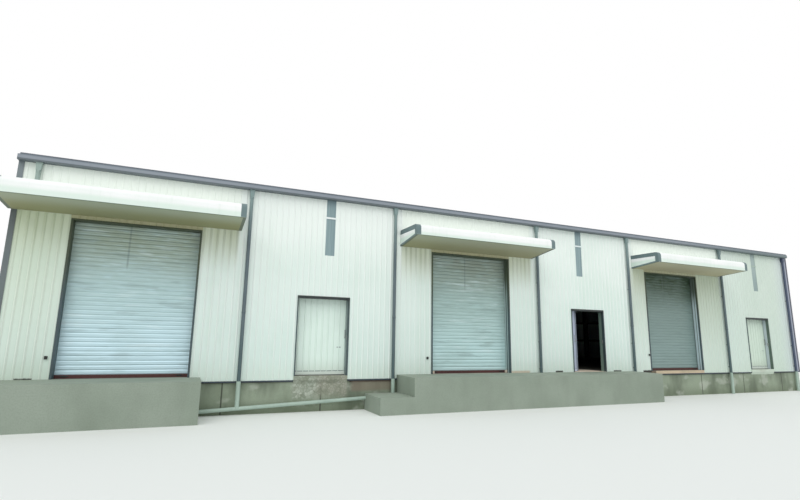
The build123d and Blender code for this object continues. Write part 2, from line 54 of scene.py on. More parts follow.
RAIL_TOP = FLOOR + 0.075
FRAME_LINES = (0, 4.925, 8.925, 13.925, 17.925, 22.925, 27.4)
PIPES = (0.378,) + FRAME_LINES[1:-1] + (27.04,)
PIPE_Y = -0.075
PIPE_RADIUS = 0.045
SHUTTERS = (2.4625, 11.484, 20.14)
SHUTTER_WIDTH = 2.73
SHUTTER_HEIGHT = 3.606
SLAT = 0.1009
DOORS = (6.95, 15.992, 24.975)
DOOR_WIDTH = 1.41
DOOR_HEIGHT = 2.135
LEAF_OVERLAP = 0.04
MIDDLE_OPEN = 1.07
LIGHTS = (7.042, 15.73, 25.13)
LIGHT_FOOT = 3.239
GIRT_LEVELS = (1.15, 2.25, 4.261)
DOCKS = ((0, 4.063), (8.146, 17.83))
STEP_END = 9.062
CANOPIES = ((-0.072, 4.733), (9.11, 13.756), (18.167, 22.845))
COLLAR_LEVELS = (EAVES - 0.24, 1.62)
STRAPS = 31
STRAP_STEP = 0.895
SHUTTER_BOXES = ((0.996, 0.551), (9.994, 0.544), (18.719, 0.65))
DARK_MARKS = ((0.50, 0.79, 0.15), (14.56, 14.83, 0.17), (17.02, 17.34, 0.16), (18.4, 18.88, 0.15))
SIDES = ("left", "middle", "right")


def spot(along, inward, up):
    """A place on the front wall's drawing, in the frame's own metres."""
    return WALL_ORIGIN + Vector((along, inward, up))


def around(middles, half):
    """Spans along the wall that reach half to each side of the middles."""
    return [(middle - half, middle + half) for middle in middles]


class Signal:
    """A socket of a finish's node tree that takes part in sums."""

    def __init__(self, finish, socket):
        self.finish = finish
        self.socket = socket

    def combine(self, operation, first, second):
        """One maths node on two signals or numbers."""
        return self.finish.node("ShaderNodeMath", {"operation": operation}, {0: first, 1: second})

    def __add__(self, other):
        return self.combine("ADD", self, other)

    def __radd__(self, other):
        return self.combine("ADD", other, self)

    def __sub__(self, other):
        return self.combine("SUBTRACT", self, other)

    def __rsub__(self, other):
        return self.combine("SUBTRACT", other, self)

    def __mul__(self, other):
        return self.combine("MULTIPLY", self, other)

    def __rmul__(self, other):
        return self.combine("MULTIPLY", other, self)

    def __truediv__(self, other):
        return self.combine("DIVIDE", self, other)


def tint(red, green, blue):
    """Linear colour from the 0 to 255 values that a paint chart gives."""
    linear = [((v / 255 + 0.055) / 1.055) ** 2.4 if v > 10 else v / 3294.6
              for v in (red, green, blue)]
    return (*linear, 1.0)


class Finish:
    """A material whose nodes are added by name; its patterns lie in the building's own metres."""

    def __init__(self, name):
        self.material = bpy.data.materials.new(name)
        self.material.use_nodes = True
        self.tree = self.material.node_tree
        self.shader = self.tree.nodes["Principled BSDF"]
        self.place = self.node("ShaderNodeTexCoord", {}, {}, "Object")
        parts = self.tree.nodes.new("ShaderNodeSeparateXYZ")
        self.tree.links.new(self.place.socket, parts.inputs[0])
        self.x, self.y, self.z = (Signal(self, out) for out in parts.outputs)
        self.along = self.x - WALL_ORIGIN.x
        self.inward = self.y - WALL_ORIGIN.y
        self.up = self.z - WALL_ORIGIN.z

    def node(self, kind, settings, values, output=0):
        """Add a node, set it up, feed its sockets and give back one of its outputs."""
        made = self.tree.nodes.new(kind)
        for key, value in settings.items():
            if key == "stops":
                ramp = made.color_ramp
                while len(ramp.elements) < len(value):
                    ramp.elements.new(0.5)
                for element, (position, colour) in zip(ramp.elements, value):
                    element.position = position
                    element.color = colour
            else:
                setattr(made, key, value)
        for key, value in values.items():
            self.feed(made.inputs[key], value)
        return Signal(self, made.outputs[output])

    def feed(self, socket, value):
        """Link a signal to a socket, or set a plain value on it."""
        if isinstance(value, Signal):
            self.tree.links.new(value.socket, socket)
        else:
            socket.default_value = value

    def noise(self, scale, detail=3.0, stretch=(1, 1, 1), shift=(0, 0, 0)):
        """Cloudy values round 0.5, drawn out along an axis by a stretch under 1."""
        mapped = self.node("ShaderNodeMapping", {},
                           {"Vector": self.place, "Scale": stretch, "Location": shift})
        return self.node("ShaderNodeTexNoise", {},
                         {"Vector": mapped, "Scale": scale, "Detail": detail})

    def fade(self, value, low, high, start=0.0, end=1.0):
        """A soft step from start to end as value goes from low to high."""
        return self.node("ShaderNodeMapRange", {"interpolation_type": "SMOOTHSTEP"},
                         {"Value": value, "From Min": low, "From Max": high,
                          "To Min": start, "To Max": end})

    def stripe(self, value, low, high, soft):
        """1 between low and high, with soft edges."""
        return self.fade(value, low - soft, low) * self.fade(value, high, high + soft, 1.0, 0.0)

    def within(self, spans, soft):
        """1 in each of the spans along the wall, with soft edges."""
        total = 0.0
        for left, right in spans:
            total = total + self.stripe(self.along, left, right, soft)
        return total

    def below_soffit(self):
        """1 under the level of the canopies' undersides, 0 over it."""
        return self.fade(self.up, SOFFIT, SOFFIT_EDGE, 1.0, 0.0)

    def mix(self, factor, first, second):
        """The first colour where factor is 0, the second where it is 1."""
        return self.node("ShaderNodeMix", {"data_type": "RGBA", "clamp_factor": True},
                         {0: factor, 6: first, 7: second}, 2)

    def repeat(self, value, step):
        """How far value is into its step, from 0 to 1."""
        return self.node("ShaderNodeMath", {"operation": "FRACT"}, {0: value / step})

    def from_rib(self, run, pitch):
        """How far run lies from the middle of the nearest rib."""
        share = self.repeat(run + pitch / 2, pitch) - 0.5
        return self.node("ShaderNodeMath", {"operation": "ABSOLUTE"}, {0: share}) * pitch

    def rubble(self):
        """Broken stones worn almost even with their mortar, browner towards the right."""
        cells = {"Vector": self.place, "Scale": 13.0}
        stone = self.node("ShaderNodeTexVoronoi", {}, cells, "Color")
        edge = self.node("ShaderNodeTexVoronoi", {"feature": "DISTANCE_TO_EDGE"}, cells)
        grey = self.node("ShaderNodeSeparateColor", {}, {0: stone})
        colour = self.mix(grey, tint(142, 150, 136), tint(196, 202, 190))
        colour = self.mix(self.fade(self.along, 6.7, 7.0) * 0.6, colour, tint(152, 146, 132))
        dirt = self.fade(self.noise(5.0, 5.0), 0.4, 0.65)
        colour = self.mix(dirt * 0.6, colour, tint(124, 130, 112))
        return self.mix(self.fade(edge, 0.02, 0.12, 0.4, 0.0), colour, tint(100, 104, 90))

    def bump(self, height, depth, strength):
        """A normal from heights between 0 and 1, depth metres apart."""
        return self.node("ShaderNodeBump", {},
                         {"Height": height, "Distance": depth, "Strength": strength})

    def lay(self, **values):
        """Set the shader's sockets, named with _ for spaces, and give back the material."""
        for key, value in values.items():
            self.feed(self.shader.inputs[key.replace("_", " ")], value)
        return self.material


def front_weather(f, colour, runs, fine, foot, calm):
    """What only the front has: painted light over the canopies, painted shade under them, a greener
    left end, and marks.
    """
    spans = f.within([(left + 0.1, right - 0.1) for left, right in CANOPIES], 0.1)
    # painted light: the wall over each canopy is lighter, for the light the canopy throws back up
    painted_bounce_light = spans * f.fade(f.up, SOFFIT_EDGE, 3.85)
    colour = f.mix(painted_bounce_light * 0.9, colour, tint(248, 255, 246))
    below = f.below_soffit()
    # painted shade: the wall darkens to olive up towards each canopy's underside, streaked where
    # the runs are, its ribs darker there too
    painted_canopy_shade = spans * f.fade(f.up, 2.5, SOFFIT) * below
    shade = 0.55 + 0.15 * f.fade(runs, 0.4, 0.7)
    colour = f.mix(painted_canopy_shade * shade, colour, tint(196, 202, 168))
    colour = f.mix(painted_canopy_shade * foot * calm * 0.3, colour, tint(140, 150, 126))
    # painted shade beside the right shutter, stronger up towards the canopy
    right_side = f.stripe(f.along, 21.5, 22.8, 0.1) * f.fade(f.up, 0.0, SOFFIT, 0.2, 0.8) * below
    left_side = f.stripe(f.along, 18.1, 18.8, 0.1) * f.fade(f.up, 0.0, SOFFIT, 0.1, 0.5) * below
    colour = f.mix(right_side + left_side, colour, tint(182, 192, 168))
    colour = f.mix(f.fade(f.along, 23.0, 25.0) * 0.3, colour, tint(186, 202, 184))
    colour = f.mix(f.fade(f.along, 26.2, 27.3) * 0.6, colour, tint(216, 218, 238))
    # greener towards the left end, more so up towards the canopy
    greener_left_end = f.fade(f.along, 0.2, 3.0, 0.4, 0.0) * f.fade(f.up, 0.5, 3.0, 0.4, 1.0) * below
    colour = f.mix(greener_left_end, colour, tint(190, 206, 164))
    lintel = f.stripe(f.up, SHUTTER_HEIGHT, SHUTTER_HEIGHT + 0.085, 0.004)
    over = f.within(around(SHUTTERS, SHUTTER_WIDTH / 2), 0.02)
    colour = f.mix(lintel * over * 0.85, colour, tint(172, 168, 130))
    far = f.fade(f.along, 17.5, 24.0) * (0.4 - 0.35 * painted_bounce_light)
    colour = f.mix(far, colour, tint(192, 208, 194))
    for left, right, top in DARK_MARKS:
        low = f.fade(f.up + 0.05 * fine, top - 0.02, top + 0.02, 1.0, 0.0)
        colour = f.mix(f.stripe(f.along, left, right, 0.02) * low, colour, tint(46, 44, 38))
    clay = f.stripe(f.along, 12.9, 13.5, 0.1) * f.fade(f.up, 0.14, 0.18, 1.0, 0.0)
    return f.mix(clay * 0.7, colour, tint(206, 184, 158))


def sheet_paint(name, side, pitch):
    """Off-white coil-coated sheet: faint runs, painted shade along the ribs with painted light on
    their flanks, the upper wall painted lighter, splash at the bottom.
    """
    f = Finish(name)
    run = f.inward if side == "gable" else f.along
    clouds = f.noise(0.55, 4.0)
    runs = f.noise(1.0, 5.0, (9, 9, 0.22))
    fine = f.noise(1.0, 3.0, (40, 40, 1.2))
    high = f.fade(f.up, SOFFIT, 4.1)
    colour = f.mix(f.fade(clouds, 0.36, 0.66), tint(226, 240, 232), tint(236, 246, 240))
    colour = f.mix(f.fade(f.up, 0.3, 4.2, 0.55, 0.0), colour, tint(214, 234, 228))
    # painted light: the upper wall lighter, most towards the left end
    painted_top_light = f.fade(run, 12.5, 14.5, 0.75, 0.25)
    colour = f.mix(f.fade(f.up, 2.5, 4.2) * painted_top_light, colour, tint(250, 255, 251))
    colour = f.mix(f.fade(runs, 0.50, 0.80) * (0.30 - 0.22 * high), colour, tint(208, 226, 214))
    to_rib = f.from_rib(run, pitch)
    # painted shade along each rib, uneven in strength
    foot = f.fade(to_rib, 0.018, 0.044, 1.0, 0.0)
    calm = f.fade(run, 9.0, 20.0, 1.0, 0.0)
    strong = 0.6 + 1.2 * f.fade(run, 3.0, 5.5, 1.0, 0.0)
    colour = f.mix(foot * calm * strong * (0.08 + 0.16 * fine), colour, tint(182, 200, 188))
    # painted light on both flanks of each rib
    painted_flank_light = f.stripe(to_rib, 0.009, 0.023, 0.002)
    colour = f.mix(painted_flank_light * 0.5, colour, tint(255, 255, 255))
    splash = f.fade(f.up + 0.25 * f.noise(2.2, 4.0), 0.12, 0.75, 1.0, 0.0)
    colour = f.mix(splash * 0.35, colour, tint(206, 220, 206))
    rough = 0.42 + 0.16 * runs
    if side == "front":
        colour = front_weather(f, colour, runs, fine, foot, calm)
    return f.lay(Base_Color=colour, Roughness=rough, Normal=f.bump(f.noise(3.5, 2.0), 0.003, 0.35))


def coated_metal(name, colour, darker, rough=0.45, streaks=0.35, metallic=0.0):
    """Coated or galvanised metal with runs of dirt and slight dents."""
    f = Finish(name)
    clouds = f.noise(1.4, 4.0)
    runs = f.noise(1.0, 4.0, (14, 14, 0.7))
    shade = f.mix(f.fade(clouds, 0.35, 0.7) * 0.5, colour, darker)
    shade = f.mix(f.fade(runs, 0.5, 0.75) * streaks, shade, darker)
    return f.lay(Base_Color=shade, Roughness=rough + 0.12 * runs, Metallic=metallic,
                 Normal=f.bump(clouds, 0.002, 0.3))


def gutter_metal():
    """Folded gutter: a dark line under the bead, and painted shade along the bottom fold."""
    f = Finish("gutter_sheet")
    clouds = f.noise(1.4, 4.0)
    runs = f.noise(1.0, 4.0, (14, 14, 0.7))
    colour = f.mix(f.fade(clouds, 0.35, 0.7) * 0.4, tint(141, 149, 158), tint(128, 136, 147))
    colour = f.mix(f.fade(runs, 0.55, 0.8) * 0.25, colour, tint(112, 120, 126))
    # painted shade on the gutter's bottom fold and underside
    colour = f.mix(f.fade(f.up, EAVES + 0.03, EAVES + 0.045, 0.85, 0.0), colour, tint(84, 94, 98))
    colour = f.mix(f.fade(f.along, 20.0, 26.0) * 0.6, colour, tint(94, 112, 110))
    colour = f.mix(f.fade(f.up, EAVES + 0.096, EAVES + 0.108) * 0.55, colour, tint(110, 120, 132))
    return f.lay(Base_Color=colour, Roughness=0.45 + 0.12 * runs, Normal=f.bump(clouds, 0.002, 0.3))


def canopy_paint():
    """White canopy sheet with a painted highlight on its round nose and top, a little greener on
    the flat of its front.
    """
    f = Finish("canopy_sheet")
    clouds = f.noise(0.9, 4.0)
    runs = f.noise(1.0, 4.0, (12, 12, 0.8))
    # painted highlight: white over the nose, greener on the flat of the front below
    colour = f.mix(f.fade(f.up, 3.86, 3.96), tint(230, 243, 234), tint(255, 255, 255))
    colour = f.mix(f.fade(clouds, 0.4, 0.7) * 0.25, colour, tint(226, 240, 230))
    colour = f.mix(f.fade(runs, 0.5, 0.8) * 0.2, colour, tint(206, 220, 208))
    return f.lay(Base_Color=colour, Roughness=0.42 + 0.1 * runs, Normal=f.bump(clouds, 0.002, 0.3))


def soffit_board():
    """Boards painted olive-grey for the shade under the canopies, tan towards the wall, with a dark
    line behind the front sheet.
    """
    f = Finish("soffit_board")
    clouds = f.noise(1.1, 4.0)
    # painted shade: olive-grey boards, tan towards the wall
    colour = f.mix(f.fade(f.inward, -1.0, -0.3), tint(170, 176, 154), tint(150, 150, 112))
    colour = f.mix(f.fade(clouds, 0.4, 0.7) * 0.3, colour, tint(150, 154, 122))
    colour = f.mix(f.fade(f.along, 8.0, 12.0) * 0.35, colour, tint(172, 162, 140))
    colour = f.mix(f.fade(f.along, 16.0, 19.0) * 0.5, colour, tint(204, 196, 168))
    colour = f.mix(f.fade(f.inward, -1.09, -1.05, 0.7, 0.0), colour, tint(92, 104, 98))
    boards = f.within([(left + 0.075, right - 0.075) for left, right in CANOPIES], 0.01)
    colour = f.mix((1.0 - boards) * 0.75, colour, tint(88, 100, 96))
    return f.lay(Base_Color=colour, Roughness=0.7, Normal=f.bump(clouds, 0.002, 0.3))


def jamb_paint():
    """Dark reveal paint, partly painted shade, paler on the guides' covers, with pale steel in the
    right doorway and painted shade under the door heads.
    """
    f = Finish("frame_paint")
    clouds = f.noise(1.4, 4.0)
    # dark grey-green reveals, their darkness partly painted shade, olive towards the top
    colour = f.mix(f.fade(f.up, 1.5, 3.0), tint(70, 86, 92), tint(66, 76, 54))
    colour = f.mix(f.fade(clouds, 0.35, 0.7) * 0.4, colour, tint(50, 60, 56))
    # painted shade: the pale guide covers fade dark towards their tops, under the canopies
    lit = f.fade(f.up, 2.4, 3.1, 0.95, 0.15)
    strips = f.stripe(f.inward, 0.056, 0.1, 0.006) * 0.8 + f.stripe(f.inward, 0.15, 0.25, 0.006)
    colour = f.mix(f.stripe(f.along, 12.6, 13.2, 0.1) * strips * lit, colour, tint(186, 204, 204))
    strips = f.stripe(f.inward, 0.035, 0.09, 0.006) + f.stripe(f.inward, 0.115, 0.19, 0.006)
    colour = f.mix(f.stripe(f.along, 21.2, 21.8, 0.1) * strips * lit, colour, tint(206, 224, 230))
    inner = f.fade(f.inward, 0.075, 0.09)
    last = f.stripe(f.along, 25.4, 25.9, 0.1)
    colour = f.mix(last, colour, f.mix(inner, tint(92, 110, 100), tint(196, 208, 214)))
    colour = f.mix(f.stripe(f.along, 16.5, 16.9, 0.1) * inner, colour, tint(124, 148, 138))
    colour = f.mix(f.stripe(f.along, 7.5, 7.8, 0.1) * inner, colour, tint(132, 146, 148))
    over_doors = f.within(around(DOORS, DOOR_WIDTH / 2 + 0.05), 0.01)
    # painted shade in the top of each door reveal, under its head
    head = over_doors * f.stripe(f.up, DOOR_HEIGHT - 0.064, DOOR_HEIGHT + 0.01, 0.002)
    colour = f.mix(head, colour, tint(36, 44, 44))
    return f.lay(Base_Color=colour, Roughness=0.5, Normal=f.bump(clouds, 0.002, 0.3))


def shutter_steel(name, run_along, low, half, high, seams, glint):
    """Bluish galvanised slats in painted shade towards the top, with painted sheen and glints, the
    seams' painted shadows and one run of dirt.
    """
    f = Finish(name)
    clouds = f.noise(1.1, 4.0, (1, 1, 1.6))
    dents_and_sheen = f.noise(1.0, 4.0, (3, 3, 26))
    # painted shade: the slats darken towards the top, under the canopy
    colour = f.mix(f.fade(f.up, 0.4, 2.2), low, half)
    colour = f.mix(f.fade(f.up, 2.0, 3.4), colour, high)
    colour = f.mix(f.fade(clouds, 0.4, 0.7) * 0.3, colour, half)
    # painted sheen: lighter patches slat by slat, from the same noise as the dents
    colour = f.mix(f.fade(dents_and_sheen, 0.45, 0.75) * 0.3, colour, low)
    # painted glints on the slats, and painted shade where the same noise is low
    glints = f.noise(1.0, 3.0, (1.1, 1.0, 9.0), (4, 0, 9))
    colour = f.mix(f.fade(glints, 0.56, 0.72) * glint, colour, tint(226, 242, 246))
    colour = f.mix(f.fade(glints, 0.44, 0.30) * 0.25, colour, tint(110, 128, 128))
    slat = f.repeat(f.up - RAIL_TOP, SLAT)
    seam = f.stripe(slat, 0.93, 1.0, 0.05) * f.fade(f.up, 1.6, 3.3, 0.1, seams)
    colour = f.mix(seam, colour, tint(84, 98, 98))
    run = f.stripe(f.along, run_along, run_along + 0.02, 0.02) * f.fade(f.up, 2.5, 2.7)
    colour = f.mix(run * 0.4, colour, tint(104, 118, 116))
    return f.lay(Base_Color=colour, Roughness=0.38 + 0.2 * clouds, Metallic=0.25,
                 Normal=f.bump(dents_and_sheen, 0.0015, 0.25))


def cast_concrete(name, colour, stained, wet, heavy=False):
    """Cast concrete: board and block joints, damp and green stains, pores."""
    f = Finish(name)
    clouds = f.noise(0.9, 5.0)
    damp = f.noise(1.0, 5.0, (1.6, 1.6, 0.5), (3, 1, 7))
    grain = f.noise(38.0, 4.0)
    pores = f.node("ShaderNodeTexVoronoi", {}, {"Vector": f.place, "Scale": 26.0})
    shade = f.mix(f.fade(clouds, 0.35, 0.7), colour, stained)
    shade = f.mix(f.fade(damp, 0.45, 0.7) * wet, shade, tint(84, 92, 78))
    shade = f.mix(f.fade(grain, 0.35, 0.75) * 0.25, shade, tint(120, 128, 116))
    pits = f.fade(pores, 0.0, 0.12, 1.0, 0.0)
    shade = f.mix(pits * 0.3, shade, tint(88, 90, 80))
    if heavy:
        foot = f.fade(f.up + 0.3 * damp, -0.75, -0.25, 1.0, 0.0)
        shade = f.mix(foot * 0.5, shade, tint(92, 104, 78))
        lime = f.fade(f.noise(1.3, 4.0, (1, 1, 1.4), (5, 0, 2)), 0.56, 0.68)
        shade = f.mix(lime * 0.55, shade, tint(190, 196, 184))
        joint = f.stripe(f.repeat(f.along + 0.25, 2.4), 0.0, 0.012, 0.006)
        shade = f.mix(joint * 0.8, shade, tint(60, 62, 54))
        worn = f.stripe(f.along, 6.3, 7.6, 0.15) * f.fade(f.up + 0.2 * clouds, -0.5, -0.2) * 0.85
        shade = f.mix(worn, shade, f.rubble())
        # painted shadow under the sheets' lower edge, right of the left door
        dark = f.stripe(f.along, 7.75, 8.92, 0.05) * f.fade(f.up, -0.1, -0.06)
        shade = f.mix(dark, shade, tint(58, 50, 48))
        rusty = f.stripe(f.along, 7.85, 8.9, 0.15) * f.fade(f.up + 0.1 * clouds, -0.3, -0.2)
        shade = f.mix(rusty * 0.6, shade, tint(134, 118, 104))
    relief = grain * 0.5 + clouds - pits * 0.3
    return f.lay(Base_Color=shade, Roughness=0.86, Normal=f.bump(relief, 0.006, 0.5))


def sill_concrete():
    """Sills: stained as the plinth at the left door, clay further right, pale at the last."""
    f = Finish("sill_concrete")
    clouds = f.noise(1.6, 5.0)
    colour = f.mix(f.fade(f.along, 8.0, 9.0), tint(150, 160, 142), tint(204, 186, 160))
    colour = f.mix(f.fade(f.along, 23.0, 24.0), colour, tint(200, 212, 198))
    colour = f.mix(f.fade(clouds, 0.4, 0.7) * 0.4, colour, tint(148, 142, 124))
    colour = f.mix(f.stripe(f.along, 6.3, 7.6, 0.1) * 0.85, colour, f.rubble())
    colour = f.mix(f.stripe(f.along, 18.6, 18.98, 0.03) * 0.8, colour, tint(70, 62, 52))
    return f.lay(Base_Color=colour, Roughness=0.85, Normal=f.bump(clouds, 0.004, 0.4))


def corner_metal():
    """Corner angles: grey, paler on the wide front leg at the right, painted shade at its fold and
    on the left angle under the canopy.
    """
    f = Finish("corner_sheet")
    clouds = f.noise(1.4, 4.0)
    colour = f.mix(f.fade(clouds, 0.35, 0.7) * 0.5, tint(124, 134, 138), tint(100, 110, 112))
    leg = f.fade(f.along, LENGTH - 0.4, LENGTH - 0.3) * f.fade(f.inward, 0.0, 0.01, 1.0, 0.0)
    colour = f.mix(leg, colour, tint(158, 165, 180))
    # painted shade at the right corner's fold and on its gable side
    colour = f.mix(f.fade(f.along, LENGTH - 0.09, LENGTH - 0.07), colour, tint(72, 76, 92))
    # painted shade on the left corner angle under the canopy, darker upwards
    left_low = f.fade(f.along, 0.3, 0.5, 1.0, 0.0) * f.below_soffit()
    colour = f.mix(left_low * (0.4 + 0.4 * f.fade(f.up, 2.6, 3.6)), colour, tint(78, 86, 84))
    return f.lay(Base_Color=colour, Roughness=0.5, Normal=f.bump(clouds, 0.002, 0.3))


def slab_concrete():
    """Shop floor, painted pale just behind the open door for the daylight falling in."""
    f = Finish("slab_concrete")
    clouds = f.noise(0.9, 5.0)
    painted_doorway_light = f.stripe(f.along, DOORS[1] - 0.6, DOORS[1] + 0.6, 0.3)
    colour = f.mix(f.fade(clouds, 0.35, 0.7), tint(120, 118, 110), tint(100, 98, 90))
    # painted light: the floor pale where daylight falls in through the middle doorway
    colour = f.mix(painted_doorway_light * f.fade(f.inward, 0.9, 1.5, 1.0, 0.0), colour, tint(246, 232, 212))
    return f.lay(Base_Color=colour, Roughness=0.86, Normal=f.bump(clouds, 0.004, 0.4))


def pipe_paint():
    """Slate pipe coating: faded under the gutter, darker at the foot, darker and bluest on the last
    pipe as painted shade.
    """
    f = Finish("pipe_coating")
    clouds = f.noise(1.4, 4.0)
    runs = f.noise(1.0, 4.0, (14, 14, 0.7))
    colour = f.mix(f.fade(clouds, 0.35, 0.7) * 0.5, tint(96, 110, 116), tint(80, 94, 100))
    colour = f.mix(f.fade(runs, 0.5, 0.75) * 0.25, colour, tint(80, 94, 100))
    colour = f.mix(f.fade(f.up, 0.2, 1.8, 0.8, 0.0), colour, tint(70, 92, 94))
    faded = f.fade(f.up, 3.2, EAVES) * f.fade(f.along, 20.0, 26.0, 0.8, 0.0)
    colour = f.mix(faded, colour, tint(138, 160, 158))
    colour = f.mix(f.fade(f.along, 0.5, 1.5, 0.85, 0.0), colour, tint(156, 174, 166))
    # painted shade: the last pipe darker and bluer
    colour = f.mix(f.fade(f.along, 25.5, 26.8) * 0.8, colour, tint(62, 70, 98))
    return f.lay(Base_Color=colour, Roughness=0.45 + 0.12 * runs, Normal=f.bump(clouds, 0.002, 0.3))


def light_strip():
    """Weathered translucent sheet: grey-blue, paler on the last light and darker at its foot."""
    f = Finish("light_strip")
    runs = f.noise(1.0, 4.0, (26, 26, 0.8))
    colour = f.mix(f.fade(runs, 0.35, 0.7), tint(128, 150, 154), tint(146, 168, 172))
    colour = f.mix(f.fade(f.up, 4.5, 4.8) * 0.5, colour, tint(104, 124, 134))
    last = f.mix(f.fade(f.up, 3.5, 4.3), tint(146, 164, 162), tint(170, 186, 182))
    colour = f.mix(f.fade(f.along, 20.0, 24.0) * 0.75, colour, last)
    return f.lay(Base_Color=colour, Roughness=0.3 + 0.2 * runs, Normal=f.bump(runs, 0.004, 0.4))


def door_paint(name, colour, grime, edge=None, front=None):
    """Leaf sheet: dirt in runs and at the bottom, painted shade at the feet of ribs counted from
    its edge and near a given leading edge.
    """
    f = Finish(name)
    clouds = f.noise(1.2, 4.0)
    runs = f.noise(1.0, 4.0, (10, 10, 0.4))
    shade = f.mix(f.fade(clouds, 0.35, 0.7) * 0.5, colour, grime)
    shade = f.mix(f.fade(runs, 0.5, 0.75) * 0.4, shade, grime)
    shade = f.mix(f.fade(f.up + 0.2 * clouds, 0.2, 0.7, 0.3, 0.0), shade, tint(196, 206, 188))
    if edge is not None:
        to_rib = f.from_rib(f.along - edge, PITCH)
        # painted shade at the feet of the ribs
        shade = f.mix(f.stripe(to_rib, 0.012, 0.026, 0.012) * 0.12, shade, tint(178, 196, 182))
    if front is not None:
        # painted shade near the leading edge, darkest on its stile
        shade = f.mix(f.fade(f.along, front - 0.3, front - 0.2), shade, tint(188, 196, 216))
        shade = f.mix(f.fade(f.along, front - 0.06, front - 0.04), shade, tint(128, 138, 152))
    return f.lay(Base_Color=shade, Roughness=0.45 + 0.1 * runs, Normal=f.bump(clouds, 0.002, 0.3))


WALL = sheet_paint("wall_sheet_front", "front", PITCH)
BACK = sheet_paint("wall_sheet_back", "back", HIDDEN_PITCH)
GABLE = sheet_paint("wall_sheet_gable", "gable", HIDDEN_PITCH)
ROOF = coated_metal("roof_sheet", tint(150, 160, 168), tint(122, 130, 134))
ROOF_EDGE = coated_metal("roof_edge", tint(112, 122, 132), tint(92, 100, 108), streaks=0.2)
GUTTER = gutter_metal()
CORNER = corner_metal()
PIPE = pipe_paint()
CANOPY = canopy_paint()
BAND = coated_metal("canopy_band", tint(108, 128, 130), tint(90, 108, 110), streaks=0.2)
SOFFIT = soffit_board()
SLATS = [shutter_steel("left_slats", SHUTTERS[0] - 0.2,
                       tint(212, 239, 250), tint(184, 210, 212), tint(159, 173, 157), 0.3, 0.35),
         shutter_steel("middle_slats", SHUTTERS[1] - 0.12,
                       tint(198, 228, 230), tint(170, 195, 192), tint(144, 156, 144), 0.6, 0.35),
         # painted shade: the right shutter is a darker copy of the same slats, without glints
         shutter_steel("right_slats", SHUTTERS[2] - 0.2,
                       tint(138, 160, 158), tint(130, 150, 146), tint(54, 74, 50), 0.3, 0.0)]
RAIL = coated_metal("rail_primer", tint(88, 52, 50), tint(66, 40, 38), rough=0.6)
ZINC = coated_metal("zinc", tint(168, 172, 174), tint(130, 134, 134), rough=0.4, metallic=0.6)
JAMB = jamb_paint()
SILL = sill_concrete()
LEAF_FRONTS = (None, DOORS[1] + DOOR_WIDTH / 2 + LEAF_OVERLAP - MIDDLE_OPEN, None)
LEAF = [door_paint("leaf_sheet_" + side, tint(*pale), tint(*[v - 14 for v in pale]),
                   middle - DOOR_WIDTH / 2 - LEAF_OVERLAP - shift, front)
        for side, middle, shift, front, pale in
        zip(SIDES, DOORS, (0, MIDDLE_OPEN, 0), LEAF_FRONTS,
            ((232, 249, 240), (236, 247, 240), (214, 230, 216)))]
LEAF_EDGE = [door_paint("leaf_edge_" + side, tint(232, 244, 238), tint(214, 226, 216), None, front)
             for side, front in zip(SIDES, LEAF_FRONTS)]
STEEL = coated_metal("frame_steel", tint(120, 124, 122), tint(92, 94, 90), rough=0.6)
STRIP = light_strip()
STRIP_BANDS = [coated_metal("strip_band_" + side, tint(*pale), tint(*[v - 16 for v in pale]),
                            streaks=0.1)
               for side, pale in zip(SIDES, ((244, 250, 250), (236, 246, 246), (176, 194, 182)))]
PLINTH = cast_concrete("plinth_concrete", tint(154, 166, 146), tint(128, 140, 120), 0.7, True)
DOCK = cast_concrete("dock_concrete", tint(154, 165, 152), tint(144, 156, 142), 0.12)
SLAB = slab_concrete()
PLASTIC = coated_metal("pale_plastic", tint(174, 194, 182), tint(148, 168, 156), rough=0.5)
STOP = coated_metal("stop_paint", tint(236, 224, 206), tint(206, 192, 172), rough=0.7)
DARK = coated_metal("dark_fitting", tint(44, 48, 46), tint(30, 32, 30), rough=0.5)
# dark drip edge, its darkness partly painted shadow of the gap under the sheets
DRIP_AND_SHADE = coated_metal("drip_edge", tint(58, 70, 80), tint(44, 52, 58))

FINISHES = {
    "front_wall_piers": WALL, "front_wall_heads": WALL, "back_wall": BACK,
    "left_gable": GABLE, "right_gable": GABLE,
    "front_roof": ROOF, "back_roof": ROOF, "ridge_cap": ROOF,
    "eaves_trims": ROOF_EDGE, "verge_trims": ROOF_EDGE,
    "corner_trims": CORNER, "gutters": GUTTER,
    "downpipes": PIPE, "outlets": PIPE, "pipe_clips": PIPE, "drain_pipes": PLASTIC,
    "canopy_decks": CANOPY, "canopy_ends": CANOPY, "canopy_trims": BAND, "canopy_soffits": SOFFIT,
    "left_shutter": SLATS[0], "middle_shutter": SLATS[1], "right_shutter": SLATS[2],
    "shutter_rails": RAIL,
    "shutter_guides": ZINC, "shutter_hoods": ZINC, "door_tracks": ZINC,
    "left_door_fittings": ZINC, "middle_door_fittings": ZINC, "right_door_fittings": ZINC,
    "opening_jambs": JAMB, "opening_heads": JAMB, "opening_sills": SILL,
    "left_door_leaf": LEAF[0], "middle_door_leaf": LEAF[1], "right_door_leaf": LEAF[2],
    "columns": STEEL, "front_rafters": STEEL, "back_rafters": STEEL, "purlins": STEEL,
    "girts": STEEL, "gable_girts": STEEL, "wall_lights": STRIP,
    "front_plinth": PLINTH, "back_plinth": PLINTH, "end_plinths": PLINTH, "floor_slab": SLAB,
    "left_dock": DOCK, "middle_dock": DOCK, "dock_step": DOCK,
}
for name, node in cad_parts.items():
    for place in node.material_slots:
        place.material = FINISHES[name]


